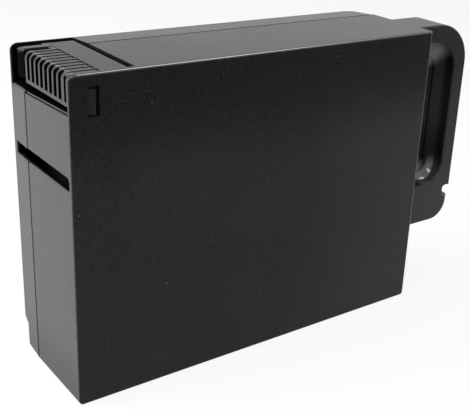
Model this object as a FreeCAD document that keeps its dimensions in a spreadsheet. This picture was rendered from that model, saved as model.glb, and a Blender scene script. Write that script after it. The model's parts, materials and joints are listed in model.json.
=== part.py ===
import FreeCAD, Part
import math
import os

import Sketcher

# A plug-in battery pack for an uninterruptible power supply: a two-piece moulded case with a handle at
# one end and a slotted blade connector in the upper corner of the other end.
# Frame: +X runs from the connector end to the handle, +Y from the front face to the rear face, +Z up.
# The origin is the centre of the whole pack's base. Lengths are in millimetres.

TOLERANCE = 0.01
OVERRUN = 1.0

# alias, size, meaning; x is measured from the connector end, y from the front face, z from the base
DIMENSIONS = [
    ("pack_length", 223.0, "case from end to end, without the handle"),
    ("pack_height", 170.0, "base to top"),
    ("pack_depth", 71.0, "front face to rear face"),
    ("shell_depth", 50.6, "front face to the seam"),
    ("wall", 2.5, "moulded wall"),
    ("front_edge", 1.2, "rounding of the front face's edges"),
    ("case_edge", 2.0, "rounding of the case's long edges"),
    ("handle_reach", 42.5, "handle beyond the case"),
    ("handle_setback", 10.0, "front face to the handle's front"),
    ("handle_thickness", 25.8, "handle, front to rear"),
    ("handle_foot", 41.0, "lower end of the handle"),
    ("handle_crown", 24.5, "upper outer corner radius"),
    ("handle_heel", 13.0, "lower outer corner radius"),
    ("crown_edge", 1.5, "rounding of the handle's upper edges"),
    ("heel_edge", 4.0, "rounding of the handle's lower edges"),
    ("grip_rim", 10.0, "bar outside the grip recesses"),
    ("grip_head", 10.4, "bar above the grip recesses"),
    ("grip_sill", 68.2, "lower end of the grip recesses"),
    ("grip_lower", 14.0, "lower corner radius of the grip recesses"),
    ("grip_upper", 18.0, "upper corner radius of the grip recesses"),
    ("grip_depth", 9.2, "grip recess before its floor is sunk"),
    ("grip_cove", 7.3, "cove round the grip recess's floor"),
    ("grip_lip", 1.2, "rounding of the grip recess's rim"),
    ("grip_margin", 0.4, "border between the cove and the sunk floor"),
    ("grip_sunk", 0.8, "sunk floor of the grip recess"),
    ("grip_bevel", 7.0, "corners cut off the sunk floor"),
    ("notch_low", 57.2, "latch notch, lower side"),
    ("notch_height", 7.4, "latch notch"),
    ("notch_depth", 6.5, "latch notch"),
    ("notch_round", 2.0, "latch notch, inner corners"),
    ("opening_length", 33.6, "connector opening along the top"),
    ("opening_low", 150.6, "connector opening, lower edge at the front wall"),
    ("opening_low_rear", 148.8, "connector opening, lower edge at the seam"),
    ("opening_turn", 152.0, "level above which the opening runs on under the top"),
    ("opening_rim", 2.5, "rear wall left standing behind the connector opening"),
    ("ledge_far", 6.7, "ledge under the opening, inner face"),
    ("ledge_low", 146.3, "ledge under the opening, underside"),
    ("ledge_cover", 150.4, "ledge of the rear cover"),
    ("ledge_round", 2.2, "rounding of the rear cover's ledge"),
    ("corner_round", 4.0, "upper connector corner of the outer walls"),
    ("module_front", 2.6, "connector, front side"),
    ("module_back", 61.5, "connector, rear edge of its top plate"),
    ("module_far", 30.2, "connector, top plate's edge on the handle side"),
    ("module_wall", 2.4, "connector, moulded wall"),
    ("module_edge", 1.2, "connector, rounding of its top plate's rear edge"),
    ("flange_top", 163.0, "connector flange, top, where the case's skirt stands on it"),
    ("flange_wall", 2.2, "connector flange"),
    ("flange_near", 10.5, "connector flange, upright leg"),
    ("flange_far", 37.0, "connector flange, end on the handle side"),
    ("flange_low", 147.0, "connector flange, lower end"),
    ("flange_back", 66.5, "connector flange, rear end"),
    ("comb_reveal", 0.4, "comb in from the case's faces"),
    ("comb_back", 48.8, "comb, rear side"),
    ("comb_length", 16.0, "comb along the top"),
    ("comb_base", 154.8, "comb, underside of the ribs"),
    ("comb_neck", 6.0, "recess under the ribs, in from the end"),
    ("comb_neck_low", 152.6, "recess under the ribs, lower side"),
    ("comb_round", 3.0, "comb, outer corner of the ribs"),
    ("comb_strip", 1.8, "comb, strip that joins the ribs' feet"),
    ("comb_line", 0.4, "groove that parts the comb from the top plate"),
    ("core_end", 19.0, "comb's core, end on the handle side"),
    ("core_under", 155.0, "comb's core, underside"),
    ("lip_near", 0.6, "lip under the comb, in from the end"),
    ("lip_gap", 0.8, "gap between the ledge and the lip"),
    ("lip_height", 0.7, "lip under the comb"),
    ("guide_front", 53.4, "guide rib behind the comb, front side"),
    ("guide_width", 4.2, "guide rib"),
    ("guide_near", 0.2, "guide rib, rear side in from the end"),
    ("guide_turn", 1.6, "guide rib, front side in from the end"),
    ("guide_far", 16.0, "guide rib, end on the handle side"),
    ("guide_low", 155.6, "guide rib, foot"),
    ("guide_top", 169.8, "guide rib, top"),
    ("guide_round", 1.6, "guide rib, outer corner"),
    ("slot_first", 5.75, "centre of the first slot's place"),
    ("slot_pitch", 4.95, "slot spacing"),
    ("slot_width", 3.3, "slot"),
    ("slot_count", 9, "slots"),
    ("slot_reach", 9.0, "slots in from the end"),
    ("slot_roof", 168.4, "slots, upper end"),
    ("slot_mouth", 2.2, "slots, open to the top as far as this from the end"),
    ("slot_slope", 1.0, "slots, slope from the open top to the upper end"),
    ("blind_middle", 5.3, "keying slot nearest the front"),
    ("blind_width", 2.2, "keying slot"),
    ("blind_reach", 1.2, "keying slot, depth"),
    ("groove_depth", 0.3, "grooves that carry the slots on over the top"),
    ("groove_end", 16.8, "grooves along the top"),
    ("mark_length", 1.0, "pocket at a groove's end, along the top"),
    ("mark_width", 1.8, "pocket at a groove's end"),
    ("mark_depth", 1.0, "pocket at a groove's end"),
    ("window_near", 8.4, "latch window, near side"),
    ("window_width", 5.9, "latch window"),
    ("window_low", 150.0, "latch window, lower side"),
    ("window_height", 14.0, "latch window"),
    ("tongue_play", 0.3, "latch tongue, clear of the window"),
    ("tongue_drop", 1.6, "latch tongue, below the window's upper side"),
    ("tongue_width", 4.1, "latch tongue"),
    ("tongue_heel", 2.0, "latch tongue, near side behind the front face"),
    ("tongue_tip", 0.7, "latch tongue, far side behind the front face"),
    ("tongue_root", 3.0, "latch tongue, root behind the front face"),
    ("key_low", 113.8, "key slot in the end wall, lower side"),
    ("key_height", 6.8, "key slot"),
    ("key_front", 4.0, "key slot, front end"),
    ("key_back", 66.0, "key slot, rear end"),
    ("key_round", 2.0, "key slot, corners"),
    ("key_lip", 0.8, "rounding of the key slot's rim"),
    ("seam_gap", 0.5, "groove along the seam"),
    ("seam_depth", 0.7, "groove along the seam, depth"),
    ("cover_draft", 3.0, "draft of the rear cover, degrees"),
    ("cover_corner", 9.0, "rear corner on the handle side"),
    ("cover_edge", 2.0, "rounding of the rear cover's edges"),
    ("cover_boss", 5.5, "screw boss of the rear cover, radius"),
    ("foot_length", 12.0, "lower rear notch, along the base"),
    ("foot_low", 15.0, "lower rear notch, foot of its slope"),
    ("foot_high", 20.0, "lower rear notch, head of its slope"),
    ("foot_depth", 6.0, "lower rear notch"),
    ("battery_near", 15.3, "near end of the first battery"),
    ("battery_gap", 14.0, "space between the batteries"),
    ("battery_height", 94.0, "battery, base to lid"),
    ("battery_length", 151.0, "battery"),
    ("battery_width", 65.0, "battery"),
    ("battery_round", 3.0, "battery, long edges"),
    ("battery_foot", 2.5, "battery, edges of its base"),
    ("battery_lid", 10.0, "battery, lid joint below the lid's face"),
    ("battery_joint", 0.8, "battery, lid joint groove"),
    ("vent_length", 80.0, "battery, vent cover"),
    ("vent_width", 24.0, "battery, vent cover"),
    ("vent_height", 1.2, "battery, vent cover"),
    ("tab_size", 6.35, "push-on tab, length and width"),
    ("tab_thickness", 0.8, "push-on tab"),
    ("tab_inset", 16.0, "push-on tab from the battery's ends"),
    ("tab_chamfer", 1.0, "push-on tab, corners of its tip"),
    ("tab_hole", 2.0, "push-on tab, hole"),
    ("tab_hole_place", 3.8, "push-on tab, hole from the battery's face"),
    ("boot_length", 10.0, "flag boot, along the tab"),
    ("boot_clear", 0.6, "flag boot, clear of the battery"),
    ("boot_width", 9.2, "flag boot"),
    ("boot_thickness", 5.2, "flag boot"),
    ("boot_edge", 0.8, "flag boot, rounding of its nose"),
    ("boot_axis", 5.3, "flag boot, lead's axis from the battery's face"),
    ("boot_sleeve", 6.0, "flag boot, diameter of the sleeve"),
    ("boot_reach", 11.0, "flag boot, sleeve's end from the tab's middle"),
    ("boot_fit", 0.1, "play between a boot and what it holds"),
    ("lead_diameter", 3.6, "lead over its insulation"),
    ("lead_bend", 7.5, "lead, bend radius"),
    ("lead_grip", 5.0, "lead inside a boot's sleeve"),
    ("lead_level", 157.6, "leads above the batteries"),
    ("lead_rear", 61.5, "negative lead beside the series link"),
    ("lead_swing_low", 42.0, "negative lead, start of its swing to the rear"),
    ("lead_swing_high", 70.0, "negative lead, end of its swing to the rear"),
    ("lead_cross_far", 95.0, "negative lead, start of its way across the battery"),
    ("lead_cross_near", 62.0, "negative lead, end of its way across the battery"),
    ("link_leave", 36.0, "series link, where it leaves the first battery"),
    ("link_meet", 48.0, "series link, where it lines up with the fuse"),
    ("link_part", 111.0, "series link, where it leaves the fuse's line"),
    ("link_arrive", 114.0, "series link, where it lines up with the second battery"),
    ("clip_tail", 21.0, "contact, end of its tail"),
    ("clip_tail_low", 156.2, "contact, tail"),
    ("clip_tail_high", 159.0, "contact, tail"),
    ("clip_low", 157.4, "contact, fork"),
    ("clip_high", 165.4, "contact, fork"),
    ("clip_metal", 0.5, "contact, metal of the fork"),
    ("clip_half", 1.3, "contact, half width of the fork"),
    ("clip_throat", 0.3, "contact, half gap at the throat"),
    ("clip_near", 4.6, "contact, mouth of the fork"),
    ("clip_flare", 1.2, "contact, flared mouth"),
    ("clip_root", 0.6, "contact, fork's root"),
    ("clip_shoulder", 1.3, "contact, fork's shoulder"),
    ("bar_metal", 1.5, "bus bar, thickness"),
    ("bar_low", 155.2, "bus bar, lower side"),
    ("bar_high", 160.2, "bus bar, upper side"),
    ("bar_overhang", 1.6, "bus bar, beyond its outer contacts"),
    ("bar_tab", 8.5, "bus bar, length of its tab"),
    ("plug_near", 23.5, "straight boot, end next to the bus bar"),
    ("plug_far", 42.0, "straight boot, end next to the lead"),
    ("plug_half", 4.2, "straight boot, half width"),
    ("plug_high", 2.6, "straight boot, half height"),
    ("plug_edge", 1.2, "straight boot, rounding of its long edges"),
    ("fuse_low", 56.0, "fuse holder, lower end"),
    ("fuse_high", 100.0, "fuse holder, upper end"),
    ("fuse_outer", 5.2, "fuse holder, outer radius"),
    ("fuse_inner", 3.4, "fuse holder, inner radius"),
    ("fuse_chamfer", 1.5, "fuse holder, bevel of its ends"),
    ("fuse_entry", 5.5, "lead inside the fuse holder's end"),
    ("fuse_cap", 3.15, "cartridge fuse, radius of its end caps"),
    ("fuse_glass", 2.9, "cartridge fuse, radius of its tube"),
    ("fuse_cap_length", 6.0, "cartridge fuse, end caps"),
    ("fuse_wall", 6.0, "fuse holder, ends beyond its chamber"),
    ("pad_base", 1.2, "foam under the batteries"),
    ("pad_side", 3.2, "foam beside the second battery"),
    ("pad_side_front", 6.0, "foam beside the second battery, front"),
    ("pad_side_back", 48.0, "foam beside the second battery, rear"),
    ("pad_side_low", 15.0, "foam beside the second battery, lower end"),
    ("pad_side_high", 145.0, "foam beside the second battery, upper end"),
    ("pad_rear_near", 25.0, "foam behind the batteries, near end"),
    ("pad_rear_far", 205.0, "foam behind the batteries, far end"),
    ("pad_rear_low", 40.0, "foam behind the batteries, lower side"),
    ("pad_rear_high", 130.0, "foam behind the batteries, upper side"),
    ("hold_left_near", 50.0, "foam on the first battery, near end"),
    ("hold_left_far", 98.0, "foam on the first battery, far end"),
    ("hold_left_front", 21.0, "foam on the first battery, front"),
    ("hold_left_back", 33.0, "foam on the first battery, rear"),
    ("hold_right_near", 145.0, "foam on the second battery, near end"),
    ("hold_right_far", 195.0, "foam on the second battery, far end"),
    ("hold_right_front", 10.0, "foam on the second battery, front"),
    ("hold_right_back", 46.0, "foam on the second battery, rear"),
    ("rib_wall", 2.0, "stop rib, thickness"),
    ("rib_back", 40.0, "stop rib, rear end"),
    ("boss_radius", 4.0, "screw boss of the front shell"),
    ("pilot_radius", 1.45, "pilot hole in the front shell's bosses"),
    ("pilot_depth", 18.0, "pilot hole"),
    ("clear_radius", 1.9, "screw hole in the rear cover"),
    ("bore_radius", 3.8, "counterbore in the rear cover"),
    ("bore_seat", 61.0, "seat of the screw heads"),
    ("screw_radius", 1.4, "screw, core of the thread"),
    ("screw_length", 25.0, "screw under its head"),
    ("screw_point", 3.0, "screw, length of its point"),
    ("screw_tip", 0.5, "screw, radius of its tip"),
    ("screw_head", 3.4, "screw, head radius"),
    ("screw_rim", 1.2, "screw, height of the head's rim"),
    ("screw_crown", 2.4, "screw, head height"),
    ("screw_flat", 2.0, "screw, radius of the head's flat"),
    ("drive_length", 3.4, "screw, cross recess from tip to tip"),
    ("drive_width", 0.8, "screw, arms of the cross recess"),
    ("drive_depth", 1.4, "screw, cross recess"),
]

# centres of the screw bosses: x from the connector end, z from the base
SCREW_CENTRES = [(8.9, 34.0), (8.9, 140.0), (116.3, 8.0), (132.0, 161.0), (213.0, 161.0)]
STOP_RIB_LEVELS = [20.0, 55.0, 90.0]

doc = FreeCAD.newDocument("battery_pack")
sheet = doc.addObject("Spreadsheet::Sheet", "Dim")
for row, (alias, size, meaning) in enumerate(DIMENSIONS, 1):
    sheet.set(f"A{row}", meaning)
    sheet.set(f"B{row}", str(size))
    sheet.setAlias(f"B{row}", alias)
doc.recompute()


# Expressions and places
TOTAL = "(Dim.pack_length + Dim.handle_reach)"
HANDLE_BACK = "(Dim.handle_setback + Dim.handle_thickness)"
BATTERY_BASE = "(Dim.wall + Dim.pad_base)"
BATTERY_FACE = "(Dim.battery_near + Dim.battery_height)"
BATTERY_FAR_FACE = f"({BATTERY_FACE} + Dim.battery_gap)"
BATTERY_TOP = f"({BATTERY_BASE} + Dim.battery_length)"
COMB_TOP = "(Dim.pack_height - Dim.comb_reveal)"
TAB_LOW = f"({BATTERY_BASE} + Dim.tab_inset)"
TAB_HIGH = f"({BATTERY_TOP} - Dim.tab_inset)"
BUS_POSITIVE = "(Dim.slot_first + 2.5 * Dim.slot_pitch)"
BUS_NEGATIVE = "(Dim.slot_first + 6.5 * Dim.slot_pitch)"
BATTERY_BACK = "(Dim.wall + Dim.battery_width)"
LEFT_TAB_Y = BUS_POSITIVE
RIGHT_TAB_Y = f"(Dim.wall + {BATTERY_BACK} - {BUS_POSITIVE})"
GAP_MIDDLE = f"({BATTERY_FACE} + Dim.battery_gap / 2)"


def along(distance):
    """Frame X of a distance from the connector end."""
    return f"({distance} - {TOTAL} / 2)"


def behind(distance):
    """Frame Y of a distance from the front face."""
    return f"({distance} - Dim.pack_depth / 2)"


def number(expression):
    return float(sheet.evalExpression(str(expression)))


def place(x, y, z):
    """Point of the frame from a distance along, a distance behind and a height."""
    return FreeCAD.Vector(number(along(x)), number(behind(y)), number(z))


def rectangle(x0, z0, x1, z1):
    return [(x0, z0), (x1, z0), (x1, z1), (x0, z1)]


def upright(x0, z0, x1, z1):
    """Rectangle in an upright plane across Y, with x as distances from the connector end."""
    return rectangle(along(x0), z0, along(x1), z1)


def placed(points):
    """Outline in an upright plane across Y from distances along and heights."""
    return [(along(x), z) for x, z in points]


def above_level(level):
    """Test for edges whose middles lie above a level."""
    low = number(level)
    return lambda middle: middle.z > low + TOLERANCE


# Sketches and features
def new_body(label):
    body = doc.addObject("PartDesign::Body", label)
    body.Label = label
    return body


def new_sketch(body, name, role, level):
    """Sketch on one of the body's origin planes, moved to a level along the plane's axis."""
    sketch = body.newObject("Sketcher::SketchObject", name)
    planes = [feature for feature in body.Origin.OriginFeatures if feature.Role == role]
    sketch.AttachmentSupport = [(planes[0], "")]
    sketch.MapMode = "FlatFace"
    sign = "-" if role == "XZ_Plane" else ""
    sketch.setExpression("AttachmentOffset.Base.z", f"{sign}({level})")
    return sketch


def bind(sketch, kind, geometry, point, expression):
    """Distance from the sketch's origin to a point, driven by an expression."""
    size = number(expression)
    index = sketch.addConstraint(Sketcher.Constraint(kind, -1, 1, geometry, point, size))
    name = f"{kind}_{index}"
    sketch.renameConstraint(index, name)
    sketch.setExpression(f"Constraints.{name}", str(expression))


def draw_polygon(sketch, points):
    first = sketch.GeometryCount
    count = len(points)
    corners = [FreeCAD.Vector(number(x), number(y), 0) for x, y in points]
    for index in range(count):
        sketch.addGeometry(Part.LineSegment(corners[index], corners[(index + 1) % count]))
    for index in range(count):
        following = first + (index + 1) % count
        sketch.addConstraint(Sketcher.Constraint("Coincident", first + index, 2, following, 1))
    for index, (x, y) in enumerate(points):
        bind(sketch, "DistanceX", first + index, 1, x)
        bind(sketch, "DistanceY", first + index, 1, y)


def draw_circle(sketch, x, y, radius):
    centre = FreeCAD.Vector(number(x), number(y), 0)
    geometry = sketch.addGeometry(Part.Circle(centre, FreeCAD.Vector(0, 0, 1), number(radius)))
    bind(sketch, "DistanceX", geometry, 3, x)
    bind(sketch, "DistanceY", geometry, 3, y)
    index = sketch.addConstraint(Sketcher.Constraint("Radius", geometry, number(radius)))
    sketch.renameConstraint(index, f"Radius_{index}")
    sketch.setExpression(f"Constraints.Radius_{index}", str(radius))


def outline(body, name, role, level, *polygons):
    sketch = new_sketch(body, name, role, level)
    for points in polygons:
        draw_polygon(sketch, points)
    return sketch


def extrude(body, kind, name, sketch, length, reverse, taper):
    feature = body.newObject(kind, name)
    feature.Profile = sketch
    feature.setExpression("Length", length)
    feature.Reversed = reverse
    if taper:
        feature.setExpression("TaperAngle", taper)
    sketch.Visibility = False
    return feature


def pad_rearward(body, name, level, length, *polygons, taper=""):
    """Material from a level across Y towards the rear."""
    sketch = outline(body, f"{name}_sketch", "XZ_Plane", level, *polygons)
    return extrude(body, "PartDesign::Pad", name, sketch, length, True, taper)


def cut_rearward(body, name, level, length, *polygons, taper=""):
    """Pocket from a level across Y towards the rear."""
    sketch = outline(body, f"{name}_sketch", "XZ_Plane", level, *polygons)
    return cut(body, name, sketch, length, False, taper)


def cut_frontward(body, name, level, length, *polygons):
    """Pocket from a level across Y towards the front."""
    sketch = outline(body, f"{name}_sketch", "XZ_Plane", level, *polygons)
    return cut(body, name, sketch, length, True, "")


def pad_along(body, name, level, length, *polygons):
    """Material from a level across X towards the handle."""
    sketch = outline(body, f"{name}_sketch", "YZ_Plane", level, *polygons)
    return extrude(body, "PartDesign::Pad", name, sketch, length, False, "")


def cut_along(body, name, level, length, *polygons):
    """Pocket from a level across X towards the handle."""
    sketch = outline(body, f"{name}_sketch", "YZ_Plane", level, *polygons)
    return cut(body, name, sketch, length, True, "")


def pad_upward(body, name, level, length, *polygons):
    """Material from a level across Z upwards."""
    sketch = outline(body, f"{name}_sketch", "XY_Plane", level, *polygons)
    return extrude(body, "PartDesign::Pad", name, sketch, length, False, "")


def cut(body, name, sketch, length, reverse, taper):
    """Pocket that is known to have taken material away."""
    doc.recompute()
    before = body.Shape.Volume
    feature = extrude(body, "PartDesign::Pocket", name, sketch, length, reverse, taper)
    doc.recompute()
    if not body.Shape.Volume < before - TOLERANCE:
        raise RuntimeError(f"{name} cuts nothing")
    return feature


def round_discs(body, name, level, length, radius):
    """Pad of equal discs at the screw centres, from a level across Y towards the rear."""
    sketch = disc_sketch(body, name, level, radius)
    return extrude(body, "PartDesign::Pad", name, sketch, length, True, "")


def round_holes(body, name, level, length, radius):
    """Round pockets at the screw centres, from a level across Y towards the rear."""
    sketch = disc_sketch(body, name, level, radius)
    return cut(body, name, sketch, length, False, "")


def disc_sketch(body, name, level, radius):
    sketch = new_sketch(body, f"{name}_sketch", "XZ_Plane", level)
    for x, z in SCREW_CENTRES:
        draw_circle(sketch, along(x), z, radius)
    return sketch


def fillet(body, name, radius, chosen):
    doc.recompute()
    base = body.Tip
    edges = [f"Edge{index}" for index, edge in enumerate(base.Shape.Edges, 1) if chosen(edge)]
    if not edges:
        raise RuntimeError(f"{name} finds no edge")
    feature = body.newObject("PartDesign::Fillet", name)
    feature.Base = (base, edges)
    feature.setExpression("Radius", radius)
    doc.recompute()
    if not feature.isValid():
        raise RuntimeError(f"{name} can't be rounded")
    return feature


def chosen_line(axis, **levels):
    """Straight edges along an axis whose middles lie at the given levels, in the frame."""
    wanted = {key: number(level) for key, level in levels.items()}

    def chosen(edge):
        if edge.Degenerated:
            return False
        middle = edge.CenterOfMass
        near = all(abs(getattr(middle, key) - level) < TOLERANCE for key, level in wanted.items())
        direction = edge.Vertexes[-1].Point - edge.Vertexes[0].Point
        return near and abs(getattr(direction, axis)) > edge.Length * 0.99

    return chosen


def chosen_level(axis, level, inside):
    """Edges that lie in one plane across an axis and whose middles pass a test."""
    wanted = number(level)

    def chosen(edge):
        box = edge.BoundBox
        low = getattr(box, f"{axis.upper()}Min")
        high = getattr(box, f"{axis.upper()}Max")
        flat = abs(low - wanted) < TOLERANCE and abs(high - wanted) < TOLERANCE
        return flat and inside(edge.CenterOfMass)

    return chosen


def either(*choices):
    return lambda edge: any(chosen(edge) for chosen in choices)


def pattern(body, name, features, step, count):
    """Row of copies along Y."""
    axis = [feature for feature in body.Origin.OriginFeatures if feature.Role == "Y_Axis"][0]
    doc.recompute()
    row = body.newObject("PartDesign::LinearPattern", name)
    row.Originals = features
    row.Direction = (axis, [""])
    row.setExpression("Length", f"{step} * ({count} - 1)")
    row.setExpression("Occurrences", count)
    body.Tip = row
    doc.recompute()
    return row


def stand(body, x, y, z, turn=0.0, axis=(0, 0, 1)):
    """Places a body that is modelled about its own origin."""
    body.Placement.Rotation = FreeCAD.Rotation(FreeCAD.Vector(*axis), turn)
    body.setExpression("Placement.Base.x", along(x))
    body.setExpression("Placement.Base.y", behind(y))
    body.setExpression("Placement.Base.z", z)


# Shared outlines
def opening_frame():
    """Skirt beside the connector opening and ledge under it, where they stand on the connector's flange."""
    skirt_far = "(Dim.opening_length + Dim.wall)"
    in_top = "(Dim.pack_height - Dim.wall / 2)"
    skirt = upright("Dim.opening_length", "Dim.flange_top", skirt_far, in_top)
    ledge = upright("(Dim.wall / 2)", "Dim.ledge_low", "Dim.ledge_far", "Dim.opening_turn")
    return skirt, ledge


def opening_space(low):
    """Corner space of the connector opening above a level."""
    return upright(f"(-{OVERRUN})", low, "Dim.opening_length", f"(Dim.pack_height + {OVERRUN})")


# Front shell with its handle
def front_shell():
    body = new_body("front_shell")
    notch_middle = "(Dim.notch_low + Dim.notch_height / 2)"
    handle_part(body, "heel", "Dim.handle_foot", notch_middle, "Dim.handle_foot")
    handle_part(body, "crown", notch_middle, "Dim.pack_height", "Dim.pack_height")
    handle_notch(body)
    grip_recesses(body)
    shell_case(body)
    shell_inside(body)
    shell_openings(body)
    return body


def handle_part(body, name, low, high, corner_level):
    """Lower or upper part of the handle; they meet inside the latch notch."""
    near = "(Dim.pack_length - Dim.wall)"
    start = behind("Dim.handle_setback")
    pad_rearward(body, name, start, "Dim.handle_thickness", upright(near, low, TOTAL, high))
    fillet(body, f"{name}_corner", f"Dim.handle_{name}", chosen_line("y", x=along(TOTAL), z=corner_level))
    meeting = high if corner_level == low else low
    bottom = number(low)
    top = number(high)
    joint = number(meeting)
    left = number(along(near))

    def of_part(middle):
        clear_of_joint = abs(middle.z - joint) > TOLERANCE
        clear_of_case = middle.x > left + TOLERANCE
        return clear_of_joint and clear_of_case and bottom - TOLERANCE < middle.z < top + TOLERANCE

    for side, level in (("front", "Dim.handle_setback"), ("rear", HANDLE_BACK)):
        fillet(body, f"{name}_{side}_edge", f"Dim.{name}_edge", chosen_level("y", behind(level), of_part))


def handle_notch(body):
    notch_top = "(Dim.notch_low + Dim.notch_height)"
    notch_near = f"({TOTAL} - Dim.notch_depth)"
    notch = upright(notch_near, "Dim.notch_low", f"({TOTAL} + {OVERRUN})", notch_top)
    start = behind(f"(Dim.handle_setback - {OVERRUN})")
    cut_rearward(body, "notch", start, f"Dim.handle_thickness + 2 * {OVERRUN}", notch)
    corners = either(
        chosen_line("y", x=along(notch_near), z="Dim.notch_low"),
        chosen_line("y", x=along(notch_near), z=notch_top),
    )
    fillet(body, "notch_corners", "Dim.notch_round", corners)


def grip_recesses(body):
    """Coved finger recesses in both sides of the handle, with sunk floors and a web between them."""
    open_side = f"(Dim.pack_length - Dim.wall - {OVERRUN})"
    far = f"({TOTAL} - Dim.grip_rim)"
    low = "Dim.grip_sill"
    high = "(Dim.pack_height - Dim.grip_head)"
    front = behind(f"(Dim.handle_setback - {OVERRUN})")
    rear = behind(f"({HANDLE_BACK} + {OVERRUN})")
    recess = upright(open_side, low, far, high)
    cut_rearward(body, "grip_front", front, f"Dim.grip_depth + {OVERRUN}", recess)
    cut_frontward(body, "grip_rear", rear, f"Dim.grip_depth + {OVERRUN}", recess)
    fillet(body, "grip_lower_corners", "Dim.grip_lower", chosen_line("y", x=along(far), z=low))
    fillet(body, "grip_upper_corners", "Dim.grip_upper", chosen_line("y", x=along(far), z=high))
    left = number(along("(Dim.pack_length - Dim.wall)")) + TOLERANCE
    right = number(along(far)) + TOLERANCE
    bottom = number(low) - TOLERANCE
    top = number(high) + TOLERANCE

    def of_grip(middle):
        return left < middle.x < right and bottom < middle.z < top

    for name, level, radius in (
        ("cove_front", "(Dim.handle_setback + Dim.grip_depth)", "Dim.grip_cove"),
        ("cove_rear", f"({HANDLE_BACK} - Dim.grip_depth)", "Dim.grip_cove"),
        ("lip_front", "Dim.handle_setback", "Dim.grip_lip"),
        ("lip_rear", HANDLE_BACK, "Dim.grip_lip"),
    ):
        fillet(body, f"grip_{name}", radius, chosen_level("y", behind(level), of_grip))
    inset = "(Dim.grip_cove + Dim.grip_margin)"
    floor_far = f"({far} - {inset})"
    floor_low = f"({low} + {inset})"
    floor_high = f"({high} - {inset})"
    sunk = placed([
        (open_side, floor_low),
        (f"({floor_far} - Dim.grip_bevel)", floor_low),
        (floor_far, f"({floor_low} + Dim.grip_bevel)"),
        (floor_far, f"({floor_high} - Dim.grip_bevel)"),
        (f"({floor_far} - Dim.grip_bevel)", floor_high),
        (open_side, floor_high),
    ])
    sunk_depth = f"Dim.grip_depth + Dim.grip_sunk + {OVERRUN}"
    cut_rearward(body, "sunk_front", front, sunk_depth, sunk)
    cut_frontward(body, "sunk_rear", rear, sunk_depth, sunk)


def shell_case(body):
    outer = upright("0", "0", "Dim.pack_length", "Dim.pack_height")
    pad_rearward(body, "case", behind("0"), "Dim.shell_depth", outer)
    near = along("0")
    long_edges = either(
        chosen_line("y", x=near, z="0"),
        chosen_line("y", x=along("Dim.pack_length"), z="0"),
    )
    fillet(body, "case_edges", "Dim.case_edge", long_edges)
    fillet(body, "case_corner", "Dim.corner_round", chosen_line("y", x=near, z="Dim.pack_height"))
    fillet(body, "face_edges", "Dim.front_edge", chosen_level("y", behind("0"), lambda middle: True))


def shell_inside(body):
    far = "(Dim.pack_length - Dim.wall)"
    space = upright("Dim.wall", "Dim.wall", far, "(Dim.pack_height - Dim.wall)")
    cut_rearward(body, "inside", behind("Dim.wall"), f"Dim.shell_depth - Dim.wall + {OVERRUN}", space)
    start = behind("(Dim.wall / 2)")
    to_seam = "Dim.shell_depth - Dim.wall / 2"
    pad_rearward(body, "opening_frame", start, to_seam, *opening_frame())
    round_discs(body, "bosses", start, to_seam, "Dim.boss_radius")
    ribs = []
    for level in STOP_RIB_LEVELS:
        ribs.append(upright("Dim.wall / 2", level, "Dim.battery_near", f"{level} + Dim.rib_wall"))
    pad_rearward(body, "stop_ribs", start, "Dim.rib_back - Dim.wall / 2", *ribs)
    pilot = behind("(Dim.shell_depth - Dim.pilot_depth)")
    round_holes(body, "pilots", pilot, f"Dim.pilot_depth + {OVERRUN}", "Dim.pilot_radius")


def shell_openings(body):
    inner_face = behind("Dim.wall")
    past_seam = f"(Dim.shell_depth + {OVERRUN})"
    above = f"(Dim.pack_height + {OVERRUN})"
    sloping_end = [
        (inner_face, "Dim.opening_low"),
        (behind(past_seam), "Dim.opening_low_rear"),
        (behind(past_seam), above),
        (inner_face, above),
    ]
    outside = along(f"(-{OVERRUN})")
    cut_along(body, "connector_end", outside, f"Dim.ledge_far + 2 * {OVERRUN}", sloping_end)
    top_space = opening_space("Dim.opening_turn")
    cut_rearward(body, "connector_top", inner_face, f"{past_seam} - Dim.wall", top_space)
    window_far = "(Dim.window_near + Dim.window_width)"
    window_top = "(Dim.window_low + Dim.window_height)"
    window = upright("Dim.window_near", "Dim.window_low", window_far, window_top)
    cut_rearward(body, "latch_window", behind(f"(-{OVERRUN})"), f"Dim.wall + {OVERRUN}", window)
    key_top = "(Dim.key_low + Dim.key_height)"
    key = rectangle(behind("Dim.key_front"), "Dim.key_low", behind(past_seam), key_top)
    cut_along(body, "key_slot", outside, f"Dim.wall + 2 * {OVERRUN}", key)
    corners = either(
        chosen_line("x", y=behind("Dim.key_front"), z="Dim.key_low"),
        chosen_line("x", y=behind("Dim.key_front"), z=key_top),
    )
    fillet(body, "key_corners", "Dim.key_round", corners)
    low = number("Dim.key_low") - TOLERANCE
    high = number(key_top) + TOLERANCE
    rim = chosen_level("x", along("0"), lambda middle: low < middle.z < high)
    fillet(body, "key_rim", "Dim.key_lip", rim)


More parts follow.
